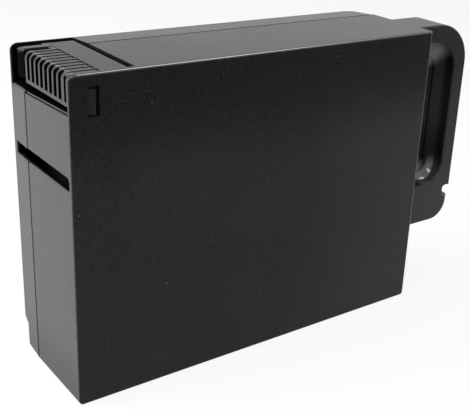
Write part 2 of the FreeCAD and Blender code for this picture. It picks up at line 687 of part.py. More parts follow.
# Rear cover
def rear_cover():
    body = new_body("rear_cover")
    seam = behind("Dim.shell_depth")
    depth = "(Dim.pack_depth - Dim.shell_depth)"
    outer = upright("0", "0", "Dim.pack_length", "Dim.pack_height")
    start = behind("(Dim.shell_depth + Dim.seam_gap)")
    pad_rearward(body, "cover", start, f"{depth} - Dim.seam_gap", outer, taper="-Dim.cover_draft")
    drawn_in = f"(({depth} - Dim.seam_gap) * tan(Dim.cover_draft * 1 deg))"
    rear = behind("Dim.pack_depth")
    rear_corner = along(f"(Dim.pack_length - {drawn_in})")
    fillet(body, "cover_corner", "Dim.cover_corner", chosen_line("z", x=rear_corner, y=rear))
    upper_corner = chosen_line("y", x=along(f"{drawn_in} / 2"), z=f"Dim.pack_height - {drawn_in} / 2")
    fillet(body, "upper_corner", "Dim.corner_round", upper_corner)
    cover_edges(body, start)
    cover_land(body, seam)
    cover_inside(body, seam, depth)
    cover_opening(body, seam, depth)
    cover_foot(body)
    cover_screw_holes(body, seam, depth)
    cover_key(body)
    return body


def cover_edges(body, start):
    """Rounds the cover's outer edges, apart from those by the seam and the smooth ones."""
    by_seam = number(start) + TOLERANCE
    middle_x = number(along("Dim.pack_length / 2"))
    middle_z = number("Dim.pack_height / 2")

    def chosen(edge):
        box = edge.BoundBox
        centre = edge.CenterOfMass
        if box.ZLength > edge.Length / 2 and centre.x > middle_x:
            return False
        if box.YLength > edge.Length / 2 and centre.x < middle_x and centre.z > middle_z:
            return False
        return box.YMax > by_seam

    fillet(body, "cover_edges", "Dim.cover_edge", chosen)


def cover_land(body, seam):
    """Land set in from the cover's outline, which leaves a narrow groove along the seam."""
    far = "(Dim.pack_length - Dim.seam_depth)"
    land = upright("Dim.seam_depth", "Dim.seam_depth", far, "(Dim.pack_height - Dim.seam_depth)")
    pad_rearward(body, "seam_land", seam, "2 * Dim.seam_gap", land)


def cover_inside(body, seam, depth):
    far = "(Dim.pack_length - Dim.wall)"
    space = upright("Dim.wall", "Dim.wall", far, "(Dim.pack_height - Dim.wall)")
    cut_rearward(body, "inside", seam, f"{depth} - Dim.wall", space, taper="-Dim.cover_draft")
    drawn_in = f"(({depth} - Dim.wall) * tan(Dim.cover_draft * 1 deg))"
    corner_x = along(f"({far} - {drawn_in})")
    inner_corner = chosen_line("z", x=corner_x, y=behind("(Dim.pack_depth - Dim.wall)"))
    fillet(body, "inside_corner", "Dim.cover_corner - Dim.wall", inner_corner)


def cover_opening(body, seam, depth):
    """Part of the connector opening behind the seam."""
    pad_rearward(body, "opening_frame", seam, f"{depth} - Dim.wall / 2", *opening_frame())
    space = opening_space("Dim.ledge_cover")
    cut_rearward(body, "connector_space", seam, f"{depth} - Dim.opening_rim", space)
    outer_half = number(along("Dim.wall / 2"))
    ledge = chosen_level("z", "Dim.ledge_cover", lambda middle: middle.x < outer_half)
    fillet(body, "ledge_edge", "Dim.ledge_round", ledge)


def cover_foot(body):
    """Lead-in notch at the lower rear corner of the connector end."""
    inner_face = behind("(Dim.pack_depth - Dim.foot_depth - Dim.wall)")
    rear_wall = behind("(Dim.pack_depth - Dim.wall / 2)")
    high = "(Dim.foot_high + Dim.wall)"
    block = [
        (inner_face, "Dim.wall"),
        (rear_wall, "Dim.wall"),
        (rear_wall, high),
        (inner_face, "(Dim.foot_low + Dim.wall)"),
    ]
    pad_along(body, "foot_wall", along("Dim.wall"), "Dim.foot_length", block)
    outer_face = behind("(Dim.pack_depth - Dim.foot_depth)")
    outside = behind(f"(Dim.pack_depth + {OVERRUN})")
    notch = [
        (outer_face, f"(-{OVERRUN})"),
        (outside, f"(-{OVERRUN})"),
        (outside, "Dim.foot_high"),
        (outer_face, "Dim.foot_low"),
    ]
    cut_along(body, "foot_notch", along(f"(-{OVERRUN})"), f"Dim.foot_length + {OVERRUN}", notch)


def cover_screw_holes(body, seam, depth):
    round_discs(body, "bosses", seam, f"{depth} - Dim.wall / 2", "Dim.cover_boss")
    round_holes(body, "screw_holes", seam, f"{depth} + {OVERRUN}", "Dim.clear_radius")
    bore_depth = f"Dim.pack_depth - Dim.bore_seat + {OVERRUN}"
    round_holes(body, "bores", behind("Dim.bore_seat"), bore_depth, "Dim.bore_radius")


def cover_key(body):
    key_top = "(Dim.key_low + Dim.key_height)"
    before_seam = behind(f"(Dim.shell_depth - {OVERRUN})")
    key = rectangle(before_seam, "Dim.key_low", behind("Dim.key_back"), key_top)
    cut_along(body, "key_slot", along(f"(-{OVERRUN})"), f"Dim.wall + 3 * {OVERRUN}", key)


# Connector block
def connector_block():
    """One moulding: a comb of ribs, a top plate, a guide rib and a flange held inside the case."""
    body = new_body("connector_block")
    front = behind("Dim.module_front")
    connector_plate(body, front)
    connector_comb(body, front)
    connector_guide(body)
    connector_lip(body)
    connector_tongue(body)
    connector_slots(body)
    connector_grooves(body)
    return body


def connector_plate(body, front):
    """Top plate with its skirt, and the flange that the case holds down."""
    under = f"({COMB_TOP} - Dim.module_wall)"
    skirt_near = "(Dim.module_far - Dim.module_wall)"
    in_flange = "(Dim.flange_top - Dim.flange_wall / 2)"
    near = "(Dim.comb_length - Dim.module_wall)"
    plate = [
        (near, COMB_TOP),
        ("Dim.module_far", COMB_TOP),
        ("Dim.module_far", in_flange),
        (skirt_near, in_flange),
        (skirt_near, under),
        (near, under),
    ]
    pad_rearward(body, "plate", front, "Dim.module_back - Dim.module_front", placed(plate))
    rear_edge = chosen_level("y", behind("Dim.module_back"), above_level(under))
    fillet(body, "plate_edge", "Dim.module_edge", rear_edge)
    leg_far = "(Dim.flange_near + Dim.flange_wall)"
    flange_under = "(Dim.flange_top - Dim.flange_wall)"
    flange = [
        ("Dim.flange_near", "Dim.flange_low"),
        (leg_far, "Dim.flange_low"),
        (leg_far, flange_under),
        ("Dim.flange_far", flange_under),
        ("Dim.flange_far", "Dim.flange_top"),
        ("Dim.flange_near", "Dim.flange_top"),
    ]
    pad_rearward(body, "flange", front, "Dim.flange_back - Dim.module_front", placed(flange))


def connector_comb(body, front):
    """Solid comb before its slots are cut, with the core that carries the contacts."""
    comb = [
        ("Dim.comb_reveal", "Dim.comb_base"),
        ("Dim.comb_reveal", COMB_TOP),
        ("Dim.core_end", COMB_TOP),
        ("Dim.core_end", "Dim.core_under"),
        ("Dim.flange_near", "Dim.core_under"),
        ("Dim.flange_near", "Dim.flange_low"),
        ("Dim.ledge_far", "Dim.flange_low"),
        ("Dim.ledge_far", "Dim.comb_neck_low"),
        ("Dim.comb_neck", "Dim.comb_neck_low"),
        ("Dim.comb_neck", "Dim.comb_base"),
    ]
    pad_rearward(body, "comb", front, "Dim.comb_back - Dim.module_front", placed(comb))
    corner = chosen_line("y", x=along("Dim.comb_reveal"), z=COMB_TOP)
    fillet(body, "rib_corner", "Dim.comb_round", corner)


def connector_guide(body):
    """Guide rib behind the comb, whose end is turned a little towards the front."""
    front = behind("Dim.guide_front")
    rear = behind("(Dim.guide_front + Dim.guide_width)")
    guide = [
        (along("Dim.guide_turn"), front),
        (along("Dim.guide_far"), front),
        (along("Dim.guide_far"), rear),
        (along("Dim.guide_near"), rear),
    ]
    pad_upward(body, "guide", "Dim.guide_low", "Dim.guide_top - Dim.guide_low", guide)
    end_middle = number(along("(Dim.guide_near + Dim.guide_turn) / 2"))
    corner = chosen_level("z", "Dim.guide_top", lambda middle: abs(middle.x - end_middle) < TOLERANCE)
    fillet(body, "guide_corner", "Dim.guide_round", corner)


def connector_lip(body):
    """Lip that hangs over the sloping ledge of the front shell."""
    front = behind("Dim.module_front")
    rear = behind("Dim.comb_back")
    low_front = "(Dim.opening_low + Dim.lip_gap)"
    low_rear = "(Dim.opening_low_rear + Dim.lip_gap)"
    lip = [
        (front, low_front),
        (rear, low_rear),
        (rear, f"({low_rear} + Dim.lip_height)"),
        (front, f"({low_front} + Dim.lip_height)"),
    ]
    length = "Dim.ledge_far + Dim.module_wall - Dim.lip_near"
    pad_along(body, "lip", along("Dim.lip_near"), length, lip)


def connector_tongue(body):
    """Wedge-shaped tongue in the front shell's window."""
    near = along("(Dim.window_near + Dim.tongue_play)")
    far = along("(Dim.window_near + Dim.tongue_play + Dim.tongue_width)")
    wedge = [
        (near, behind("Dim.tongue_root")),
        (near, behind("Dim.tongue_heel")),
        (far, behind("Dim.tongue_tip")),
        (far, behind("Dim.tongue_root")),
    ]
    height = "Dim.window_height - Dim.tongue_play - Dim.tongue_drop"
    pad_upward(body, "tongue", "Dim.window_low + Dim.tongue_play", height, wedge)


def slot_outline():
    """Slot that opens to the end, and to the top at the ribs' rounded corner."""
    outside = f"(-{OVERRUN})"
    foot = "(Dim.comb_base + Dim.comb_strip)"
    above = f"(Dim.pack_height + {OVERRUN})"
    return placed([
        (outside, foot),
        ("Dim.slot_reach", foot),
        ("Dim.slot_reach", "Dim.slot_roof"),
        ("(Dim.slot_mouth + Dim.slot_slope)", "Dim.slot_roof"),
        ("Dim.slot_mouth", above),
        (outside, above),
    ])


def connector_slots(body):
    blind_end = "(Dim.comb_reveal + Dim.blind_reach)"
    blind = upright(f"(-{OVERRUN})", "(Dim.comb_base + Dim.comb_strip)", blind_end, "Dim.slot_roof")
    blind_start = behind("(Dim.blind_middle - Dim.blind_width / 2)")
    cut_rearward(body, "blind_slot", blind_start, "Dim.blind_width", blind)
    second = "Dim.slot_first + Dim.slot_pitch"
    slot_start = behind(f"({second} - Dim.slot_width / 2)")
    slot = cut_rearward(body, "slot", slot_start, "Dim.slot_width", slot_outline())
    half_tail = "(Dim.tab_thickness + Dim.boot_fit) / 2"
    tail_end = f"(Dim.core_end + {OVERRUN})"
    tail_low = "(Dim.clip_tail_low - Dim.boot_fit)"
    tail_high = "(Dim.clip_tail_high + Dim.boot_fit)"
    tail = upright(f"(Dim.slot_reach - {OVERRUN})", tail_low, tail_end, tail_high)
    tail_start = behind(f"({second} - {half_tail})")
    tail_way = cut_rearward(body, "tail_way", tail_start, "Dim.tab_thickness + Dim.boot_fit", tail)
    pattern(body, "slots", [slot, tail_way], "Dim.slot_pitch", "(Dim.slot_count - 1)")


def connector_grooves(body):
    """Shallow grooves over the top, each with a pocket at its end, and the line behind the comb."""
    above = f"(Dim.pack_height + {OVERRUN})"
    groove_floor = f"({COMB_TOP} - Dim.groove_depth)"
    groove_shape = upright("0", groove_floor, "Dim.groove_end", above)
    groove_start = behind("(Dim.slot_first - Dim.slot_width / 2)")
    groove = cut_rearward(body, "groove", groove_start, "Dim.slot_width", groove_shape)
    mark_near = "(Dim.groove_end - Dim.mark_length)"
    mark_shape = upright(mark_near, f"({COMB_TOP} - Dim.mark_depth)", "Dim.groove_end", above)
    mark_start = behind("(Dim.slot_first - Dim.mark_width / 2)")
    mark = cut_rearward(body, "mark", mark_start, "Dim.mark_width", mark_shape)
    pattern(body, "grooves", [groove, mark], "Dim.slot_pitch", "Dim.slot_count")
    line_far = "(Dim.comb_length + Dim.comb_line)"
    line = upright("Dim.comb_length", f"({COMB_TOP} - Dim.comb_line)", line_far, above)
    line_start = behind(f"(Dim.module_front - {OVERRUN})")
    line_back = "(Dim.guide_front + Dim.guide_width)"
    cut_rearward(body, "comb_line", line_start, f"{line_back} - Dim.module_front + {OVERRUN}", line)


# Contacts and bus bars
def contact_clips():
    """Spring forks, one in each deep slot."""
    body = new_body("contact_clips")
    slot_y = "Dim.slot_first + Dim.slot_pitch"
    root = "(Dim.slot_reach - Dim.clip_root)"
    shoulder = "(Dim.slot_reach - Dim.clip_shoulder)"
    throat = "(Dim.clip_near + Dim.clip_flare)"
    inner = "(Dim.clip_half - Dim.clip_metal)"
    throat_out = "(Dim.clip_throat + Dim.clip_metal)"
    half_tail = "(Dim.tab_thickness / 2)"
    upper = [
        ("Dim.slot_reach", half_tail),
        (root, "Dim.clip_half"),
        (shoulder, "Dim.clip_half"),
        (throat, throat_out),
        ("Dim.clip_near", "Dim.clip_half"),
        ("Dim.clip_near", inner),
        (throat, "Dim.clip_throat"),
        (shoulder, inner),
    ]
    fork = [(along(x), behind(f"({slot_y} + {side})")) for x, side in upper]
    fork += [(along(x), behind(f"({slot_y} - {side})")) for x, side in reversed(upper)]
    prongs = pad_upward(body, "prongs", "Dim.clip_low", "Dim.clip_high - Dim.clip_low", fork)
    strip = upright(root, "Dim.clip_tail_low", "Dim.clip_tail", "Dim.clip_tail_high")
    tail_start = behind(f"({slot_y} - {half_tail})")
    tail = pad_rearward(body, "tail", tail_start, "Dim.tab_thickness", strip)
    pattern(body, "clips", [prongs, tail], "Dim.slot_pitch", "(Dim.slot_count - 1)")
    return body


def bus_bar(label, middle):
    """Bar across four contact tails, with a push-on tab for the lead."""
    body = new_body(label)
    half = "(1.5 * Dim.slot_pitch + Dim.bar_overhang)"
    bar_far = "(Dim.clip_tail + Dim.bar_metal)"
    bar = upright("Dim.clip_tail", "Dim.bar_low", bar_far, "Dim.bar_high")
    pad_rearward(body, "bar", behind(f"({middle} - {half})"), f"2 * {half}", bar)
    tab_far = f"({bar_far} + Dim.bar_tab)"
    tab_low = "(Dim.lead_level - Dim.tab_thickness / 2)"
    tab_high = "(Dim.lead_level + Dim.tab_thickness / 2)"
    tab = upright(f"({bar_far} - Dim.bar_metal / 2)", tab_low, tab_far, tab_high)
    pad_rearward(body, "tab", behind(f"({middle} - Dim.tab_size / 2)"), "Dim.tab_size", tab)
    return body


# Batteries, tabs and boots
def battery(label, near, lid_far):
    """Sealed lead-acid block on its end; lid_far tells whether its lid faces the handle."""
    body = new_body(label)
    low = BATTERY_BASE
    front = behind("Dim.wall")
    rear = behind(BATTERY_BACK)
    block = rectangle(front, low, rear, BATTERY_TOP)
    pad_along(body, "block", along(near), "Dim.battery_height", block)
    corners = either(
        chosen_line("x", y=front, z=low),
        chosen_line("x", y=front, z=BATTERY_TOP),
        chosen_line("x", y=rear, z=low),
        chosen_line("x", y=rear, z=BATTERY_TOP),
    )
    fillet(body, "long_edges", "Dim.battery_round", corners)
    base = near if lid_far else f"({near} + Dim.battery_height)"
    fillet(body, "base_edges", "Dim.battery_foot", chosen_level("x", along(base), lambda middle: True))
    battery_joint(body, near, lid_far)
    battery_vent(body, near, lid_far)
    return body


def battery_joint(body, near, lid_far):
    """Groove round the block where its lid is bonded on."""
    ring_outer = rectangle(
        behind(f"(Dim.wall - {OVERRUN})"),
        f"({BATTERY_BASE} - {OVERRUN})",
        behind(f"({BATTERY_BACK} + {OVERRUN})"),
        f"({BATTERY_TOP} + {OVERRUN})",
    )
    ring_inner = rectangle(
        behind("(Dim.wall + Dim.battery_joint)"),
        f"({BATTERY_BASE} + Dim.battery_joint)",
        behind(f"({BATTERY_BACK} - Dim.battery_joint)"),
        f"({BATTERY_TOP} - Dim.battery_joint)",
    )
    lid_depth = "(Dim.battery_height - Dim.battery_lid)" if lid_far else "Dim.battery_lid"
    start = along(f"({near} + {lid_depth})")
    cut_along(body, "lid_joint", start, "Dim.battery_joint", ring_outer, ring_inner)


def battery_vent(body, near, lid_far):
    """Raised cover over the valves in the lid."""
    middle_y = f"(Dim.wall + {BATTERY_BACK}) / 2"
    middle_z = f"({BATTERY_BASE} + {BATTERY_TOP}) / 2"
    vent = rectangle(
        behind(f"({middle_y} - Dim.vent_width / 2)"),
        f"{middle_z} - Dim.vent_length / 2",
        behind(f"({middle_y} + Dim.vent_width / 2)"),
        f"{middle_z} + Dim.vent_length / 2",
    )
    sunk = "Dim.vent_height / 2"
    start = f"({near} + Dim.battery_height - {sunk})" if lid_far else f"({near} - Dim.vent_height)"
    pad_along(body, "vent_cover", along(start), f"Dim.vent_height + {sunk}", vent)


def battery_tab(label, x, y, z, turn):
    """Push-on tab that stands out from a lid, modelled along its own X."""
    body = new_body(label)
    half = "Dim.tab_size / 2"
    tip = "(Dim.tab_size - Dim.tab_chamfer)"
    shape = [
        ("0", f"-{half}"),
        (tip, f"-{half}"),
        ("Dim.tab_size", f"-{half} + Dim.tab_chamfer"),
        ("Dim.tab_size", f"{half} - Dim.tab_chamfer"),
        (tip, half),
        ("0", half),
    ]
    pad_rearward(body, "blade", "-Dim.tab_thickness / 2", "Dim.tab_thickness", shape)
    sketch = new_sketch(body, "hole_sketch", "XZ_Plane", "-Dim.tab_thickness")
    draw_circle(sketch, "Dim.tab_hole_place", "0", "Dim.tab_hole / 2")
    cut(body, "hole", sketch, "2 * Dim.tab_thickness", False, "")
    stand(body, x, y, z, turn)
    return body


def flag_boot(label, x, y, z, turn, axis):
    """Insulated receptacle whose lead leaves at right angles to the tab."""
    body = new_body(label)
    half_width = "Dim.boot_width / 2"
    half_thick = "Dim.boot_thickness / 2"
    shape = rectangle("Dim.boot_clear", f"-{half_width}", "Dim.boot_length", half_width)
    pad_rearward(body, "shroud", f"-{half_thick}", "Dim.boot_thickness", shape)
    nose = chosen_level("x", "Dim.boot_length", lambda middle: True)
    fillet(body, "shroud_edges", "Dim.boot_edge", nose)
    sleeve = new_sketch(body, "sleeve_sketch", "XY_Plane", "0")
    draw_circle(sleeve, "Dim.boot_axis", "0", "Dim.boot_sleeve / 2")
    extrude(body, "PartDesign::Pad", "sleeve", sleeve, "Dim.boot_reach", False, "")
    bore = new_sketch(body, "bore_sketch", "XY_Plane", "Dim.boot_reach - Dim.lead_grip")
    draw_circle(bore, "Dim.boot_axis", "0", "(Dim.lead_diameter + Dim.boot_fit) / 2")
    cut(body, "bore", bore, f"Dim.lead_grip + {OVERRUN}", True, "")
    half_gap = "(Dim.tab_thickness + Dim.boot_fit) / 2"
    half_slot = "(Dim.tab_size + Dim.boot_fit) / 2"
    slot = rectangle("0", f"-{half_slot}", "(Dim.tab_size + Dim.boot_clear)", half_slot)
    cut_rearward(body, "tab_slot", f"-{half_gap}", "Dim.tab_thickness + Dim.boot_fit", slot)
    stand(body, x, y, z, turn, axis)
    return body


def straight_boot(label, middle):
    """Insulated receptacle in line with a bus bar's tab."""
    body = new_body(label)
    low = "(Dim.lead_level - Dim.plug_high)"
    high = "(Dim.lead_level + Dim.plug_high)"
    front = behind(f"({middle} - Dim.plug_half)")
    rear = behind(f"({middle} + Dim.plug_half)")
    length = "(Dim.plug_far - Dim.plug_near)"
    pad_along(body, "shroud", along("Dim.plug_near"), length, rectangle(front, low, rear, high))
    corners = either(
        chosen_line("x", y=front, z=low),
        chosen_line("x", y=front, z=high),
        chosen_line("x", y=rear, z=low),
        chosen_line("x", y=rear, z=high),
    )
    fillet(body, "shroud_edges", "Dim.plug_edge", corners)
    half_gap = "(Dim.tab_thickness + Dim.boot_fit) / 2"
    half_slot = "(Dim.tab_size + Dim.boot_fit) / 2"
    tab_far = "(Dim.clip_tail + Dim.bar_metal + Dim.bar_tab + Dim.boot_fit)"
    slot = rectangle(
        behind(f"({middle} - {half_slot})"),
        f"Dim.lead_level - {half_gap}",
        behind(f"({middle} + {half_slot})"),
        f"Dim.lead_level + {half_gap}",
    )
    slot_start = along(f"(Dim.plug_near - {OVERRUN})")
    cut_along(body, "tab_slot", slot_start, f"{tab_far} - Dim.plug_near + {OVERRUN}", slot)
    bore = new_sketch(body, "bore_sketch", "YZ_Plane", along("(Dim.plug_far - Dim.lead_grip)"))
    draw_circle(bore, behind(middle), "Dim.lead_level", "(Dim.lead_diameter + Dim.boot_fit) / 2")
    cut(body, "bore", bore, f"Dim.lead_grip + {OVERRUN}", True, "")
    return body


# Leads
def bent_path(points, bend):
    """Straight runs joined by tangent arcs."""
    edges = []
    start = points[0]
    for before, corner, after in zip(points, points[1:], points[2:]):
        inward = (before - corner).normalize()
        onward = (after - corner).normalize()
        half_turn = (math.pi - inward.getAngle(onward)) / 2
        trim = bend * math.tan(half_turn)
        arc_start = corner + inward * trim
        arc_end = corner + onward * trim
        bisector = (inward + onward).normalize()
        arc_middle = corner + bisector * (bend / math.cos(half_turn) - bend)
        edges.append(Part.LineSegment(start, arc_start).toShape())
        edges.append(Part.Arc(arc_start, arc_middle, arc_end).toShape())
        start = arc_end
    edges.append(Part.LineSegment(start, points[-1]).toShape())
    return Part.Wire(edges)


def lead(label, points):
    path = bent_path(points, number("Dim.lead_bend"))
    radius = number("Dim.lead_diameter") / 2
    direction = points[1] - points[0]
    section = Part.Wire([Part.Circle(points[0], direction, radius).toShape()])
    feature = doc.addObject("Part::Feature", label)
    feature.Label = label
    feature.Shape = path.makePipeShell([section], True, False)
    expected = math.pi * radius ** 2 * path.Length
    if abs(feature.Shape.Volume - expected) > 0.01 * expected:
        raise RuntimeError(f"{label} is not a plain tube")
    return feature


def leads():
    left_x = f"({BATTERY_FACE} + Dim.boot_axis)"
    right_x = f"({BATTERY_FAR_FACE} - Dim.boot_axis)"
    level = "Dim.lead_level"
    grip = "(Dim.boot_reach - Dim.lead_grip)"
    bus_end = "(Dim.plug_far - Dim.lead_grip)"
    positive = [
        place(left_x, LEFT_TAB_Y, f"({TAB_HIGH} + {grip})"),
        place(left_x, LEFT_TAB_Y, level),
        place(bus_end, BUS_POSITIVE, level),
    ]
    negative = [
        place(right_x, RIGHT_TAB_Y, f"({TAB_LOW} + {grip})"),
        place(right_x, RIGHT_TAB_Y, "Dim.lead_swing_low"),
        place(right_x, "Dim.lead_rear", "Dim.lead_swing_high"),
        place(right_x, "Dim.lead_rear", level),
        place("Dim.lead_cross_far", "Dim.lead_rear", level),
        place("Dim.lead_cross_near", BUS_NEGATIVE, level),
        place(bus_end, BUS_NEGATIVE, level),
    ]
    lower = [
        place(left_x, LEFT_TAB_Y, f"({TAB_LOW} + {grip})"),
        place(left_x, LEFT_TAB_Y, "Dim.link_leave"),
        place(GAP_MIDDLE, LEFT_TAB_Y, "Dim.link_meet"),
        place(GAP_MIDDLE, LEFT_TAB_Y, "(Dim.fuse_low + Dim.fuse_entry)"),
    ]
    upper = [
        place(GAP_MIDDLE, LEFT_TAB_Y, "(Dim.fuse_high - Dim.fuse_entry)"),
        place(GAP_MIDDLE, LEFT_TAB_Y, "Dim.link_part"),
        place(right_x, RIGHT_TAB_Y, "Dim.link_arrive"),
        place(right_x, RIGHT_TAB_Y, f"({TAB_HIGH} - {grip})"),
    ]
    return [
        lead("positive_lead", positive),
        lead("negative_lead", negative),
        lead("link_lead_lower", lower),
        lead("link_lead_upper", upper),
    ]


# Fuse in the series link
def turned(body, name, profile, x, y):
    """Solid of revolution about an upright axis."""
    sketch = outline(body, f"{name}_sketch", "XZ_Plane", "0", profile)
    feature = body.newObject("PartDesign::Revolution", name)
    feature.Profile = sketch
    feature.ReferenceAxis = (sketch, ["V_Axis"])
    feature.Angle = 360
    stand(body, x, y, "0")
    return feature


def fuse_holder():
    body = new_body("fuse_holder")
    entry = "(Dim.lead_diameter + Dim.boot_fit) / 2"
    chamber_low = "(Dim.fuse_low + Dim.fuse_wall)"
    chamber_high = "(Dim.fuse_high - Dim.fuse_wall)"
    end_radius = "(Dim.fuse_outer - Dim.fuse_chamfer)"
    profile = [
        (entry, "Dim.fuse_low"),
        (end_radius, "Dim.fuse_low"),
        ("Dim.fuse_outer", "Dim.fuse_low + Dim.fuse_chamfer"),
        ("Dim.fuse_outer", "Dim.fuse_high - Dim.fuse_chamfer"),
        (end_radius, "Dim.fuse_high"),
        (entry, "Dim.fuse_high"),
        (entry, chamber_high),
        ("Dim.fuse_inner", chamber_high),
        ("Dim.fuse_inner", chamber_low),
        (entry, chamber_low),
    ]
    turned(body, "tube", profile, GAP_MIDDLE, LEFT_TAB_Y)
    return body


def cartridge_fuse():
    body = new_body("cartridge_fuse")
    low = "(Dim.fuse_low + Dim.fuse_wall)"
    high = "(Dim.fuse_high - Dim.fuse_wall)"
    profile = [
        ("0", low),
        ("Dim.fuse_cap", low),
        ("Dim.fuse_cap", f"{low} + Dim.fuse_cap_length"),
        ("Dim.fuse_glass", f"{low} + Dim.fuse_cap_length"),
        ("Dim.fuse_glass", f"{high} - Dim.fuse_cap_length"),
        ("Dim.fuse_cap", f"{high} - Dim.fuse_cap_length"),
        ("Dim.fuse_cap", high),
        ("0", high),
    ]
    turned(body, "fuse", profile, GAP_MIDDLE, LEFT_TAB_Y)
    return body


# Foam
def foam(label, x0, y0, z0, x1, y1, z1):
    block = doc.addObject("Part::Box", label)
    block.Label = label
    block.setExpression("Length", f"{x1} - {x0}")
    block.setExpression("Width", f"{y1} - {y0}")
    block.setExpression("Height", f"{z1} - {z0}")
    block.setExpression("Placement.Base.x", along(x0))
    block.setExpression("Placement.Base.y", behind(y0))
    block.setExpression("Placement.Base.z", z0)
    return block


def foams():
    battery_end = f"({BATTERY_FAR_FACE} + Dim.battery_height)"
    under_top = "(Dim.pack_height - Dim.wall)"
    rear = "(Dim.pack_depth - Dim.wall)"
    wall = "Dim.wall"
    bottom = ("Dim.battery_near", wall, wall, battery_end, "Dim.shell_depth", BATTERY_BASE)
    behind_both = ("Dim.pad_rear_near", BATTERY_BACK, "Dim.pad_rear_low")
    behind_both += ("Dim.pad_rear_far", rear, "Dim.pad_rear_high")
    beside = (battery_end, "Dim.pad_side_front", "Dim.pad_side_low")
    beside += (f"({battery_end} + Dim.pad_side)", "Dim.pad_side_back", "Dim.pad_side_high")
    blocks = [
        foam("pad_bottom", *bottom),
        foam("pad_rear", *behind_both),
        foam("pad_end", *beside),
    ]
    for side in ("left", "right"):
        low = (f"Dim.hold_{side}_near", f"Dim.hold_{side}_front", BATTERY_TOP)
        high = (f"Dim.hold_{side}_far", f"Dim.hold_{side}_back", under_top)
        blocks.append(foam(f"hold_down_{side}", *low, *high))
    return blocks


# Cover screws
def cover_screws():
    """Five equal screws, each with its head in a counterbore of the rear cover."""
    form = new_body("screw_form")
    tip = "-Dim.screw_length"
    profile = [
        ("0", tip),
        ("Dim.screw_tip", tip),
        ("Dim.screw_radius", f"{tip} + Dim.screw_point"),
        ("Dim.screw_radius", "0"),
        ("Dim.screw_head", "0"),
        ("Dim.screw_head", "Dim.screw_rim"),
        ("Dim.screw_flat", "Dim.screw_crown"),
        ("0", "Dim.screw_crown"),
    ]
    sketch = outline(form, "screw_sketch", "XZ_Plane", "0", profile)
    turn = form.newObject("PartDesign::Revolution", "screw")
    turn.Profile = sketch
    turn.ReferenceAxis = (sketch, ["V_Axis"])
    turn.Angle = 360
    doc.recompute()
    screw_drive(form)
    onto_rear = FreeCAD.Rotation(FreeCAD.Vector(1, 0, 0), -90)
    copies = []
    for x, z in SCREW_CENTRES:
        copy = form.Shape.copy()
        copy.Placement = FreeCAD.Placement(place(x, "Dim.bore_seat", z), onto_rear)
        copies.append(copy)
    screws = doc.addObject("Part::Feature", "cover_screws")
    screws.Label = "cover_screws"
    screws.Shape = Part.makeCompound(copies)
    return screws


def screw_drive(form):
    """Cross recess in the screw's head."""
    tip = "(Dim.drive_length / 2)"
    arm = "(Dim.drive_width / 2)"
    cross = [
        (f"-{tip}", f"-{arm}"), (f"-{arm}", f"-{arm}"), (f"-{arm}", f"-{tip}"), (arm, f"-{tip}"),
        (arm, f"-{arm}"), (tip, f"-{arm}"), (tip, arm), (arm, arm),
        (arm, tip), (f"-{arm}", tip), (f"-{arm}", arm), (f"-{tip}", arm),
    ]
    sketch = outline(form, "drive_sketch", "XY_Plane", "Dim.screw_crown", cross)
    cut(form, "drive", sketch, "Dim.drive_depth", False, "")


def terminals():
    """Tabs and boots of both batteries, whose lids face each other."""
    upright_axis = (0, 0, 1)
    across = (0, 1, 0)
    left = (BATTERY_FACE, LEFT_TAB_Y)
    right = (BATTERY_FAR_FACE, RIGHT_TAB_Y)
    return [
        battery_tab("tab_left_positive", *left, TAB_HIGH, 0),
        battery_tab("tab_left_negative", *left, TAB_LOW, 0),
        battery_tab("tab_right_positive", *right, TAB_HIGH, 180),
        battery_tab("tab_right_negative", *right, TAB_LOW, 180),
        flag_boot("boot_left_positive", *left, TAB_HIGH, 0, upright_axis),
        flag_boot("boot_left_negative", *left, TAB_LOW, 0, upright_axis),
        flag_boot("boot_right_positive", *right, TAB_HIGH, 180, across),
        flag_boot("boot_right_negative", *right, TAB_LOW, 180, upright_axis),
        straight_boot("boot_bus_positive", BUS_POSITIVE),
        straight_boot("boot_bus_negative", BUS_NEGATIVE),
    ]


def build():
    pieces = [front_shell(), rear_cover(), connector_block(), contact_clips()]
    pieces.append(bus_bar("bus_bar_positive", BUS_POSITIVE))
    pieces.append(bus_bar("bus_bar_negative", BUS_NEGATIVE))
    pieces.append(battery("battery_left", "Dim.battery_near", True))
    pieces.append(battery("battery_right", BATTERY_FAR_FACE, False))
    pieces += terminals()
    pieces += leads()
    pieces += [fuse_holder(), cartridge_fuse()]
    pieces += foams()
    pieces.append(cover_screws())
    doc.recompute()
    return pieces


def check_and_write(pieces):
    for item in doc.Objects:
        if "Invalid" in item.State or "Error" in item.State:
            raise RuntimeError(f"{item.Name} failed: {item.State}")
    for piece in pieces:
        if piece.Shape.isNull() or not piece.Shape.isValid():
            raise RuntimeError(f"{piece.Label} has no valid shape")
    os.makedirs("parts", exist_ok=True)
    for piece in pieces:
        piece.Shape.exportStep(f"parts/{piece.Label}.step")
        print(piece.Label, len(piece.Shape.Solids), round(piece.Shape.Volume / 1000, 2), "cm3")


check_and_write(build())
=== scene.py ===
"""Looks of the battery pack: finishes for its CAD nodes, floor, studio light and camera."""

import json
import math

